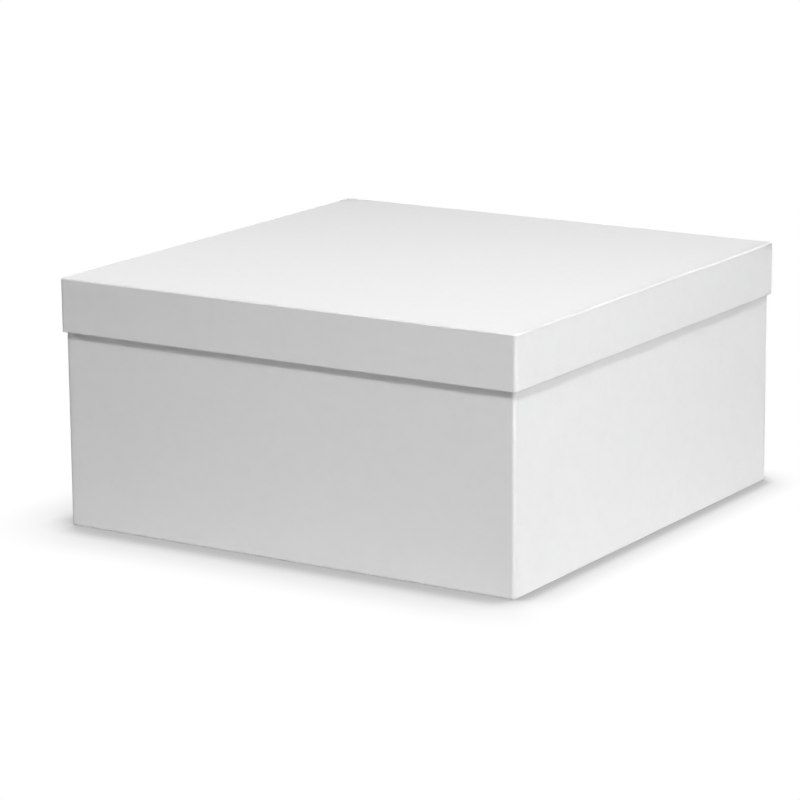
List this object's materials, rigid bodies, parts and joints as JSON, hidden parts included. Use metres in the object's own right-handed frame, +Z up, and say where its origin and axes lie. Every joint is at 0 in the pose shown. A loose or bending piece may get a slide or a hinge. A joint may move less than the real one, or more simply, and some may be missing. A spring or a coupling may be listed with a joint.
{
  "type": "gift box",
  "caption": "Plain white square rigid gift box: a paper-covered board tray with a shallow lift-off lid whose skirt slides down over the rim.",
  "frame": {"origin": "centre of the underside, on the surface that the box stands on", "axes": "+Z up through the lid, +X to the right wall, -Y to the front wall"},
  "size_m": [0.3546, 0.3546, 0.1718],
  "materials": {
    "greyboard": "raw grey recycled board",
    "white_wrap_paper": "matt white covering paper",
    "lining_paper": "uncoated white lining paper",
    "corner_stay_paper": "gummed kraft paper"
  },
  "bodies": {
    "base": {"base_board": "greyboard", "base_wall_wrap_front_right": "white_wrap_paper", "base_wall_wrap_back_left": "white_wrap_paper", "base_bottom_paper": "white_wrap_paper", "base_wall_lining_front_right": "lining_paper", "base_wall_lining_back_left": "lining_paper", "base_floor_lining": "lining_paper", "base_corner_stay_front_left": "corner_stay_paper", "base_corner_stay_front_right": "corner_stay_paper", "base_corner_stay_back_right": "corner_stay_paper", "base_corner_stay_back_left": "corner_stay_paper"},
    "lid": {"lid_board": "greyboard", "lid_wrap": "white_wrap_paper", "lid_lining": "lining_paper", "lid_corner_stay_front_left": "corner_stay_paper", "lid_corner_stay_front_right": "corner_stay_paper", "lid_corner_stay_back_right": "corner_stay_paper", "lid_corner_stay_back_left": "corner_stay_paper"}
  },
  "joints": [
    {"name": "lid_lift", "type": "slide", "parent": "base", "child": "lid", "axis": [0, 0, 1], "range_m": [0, 0.2]}
  ]
}
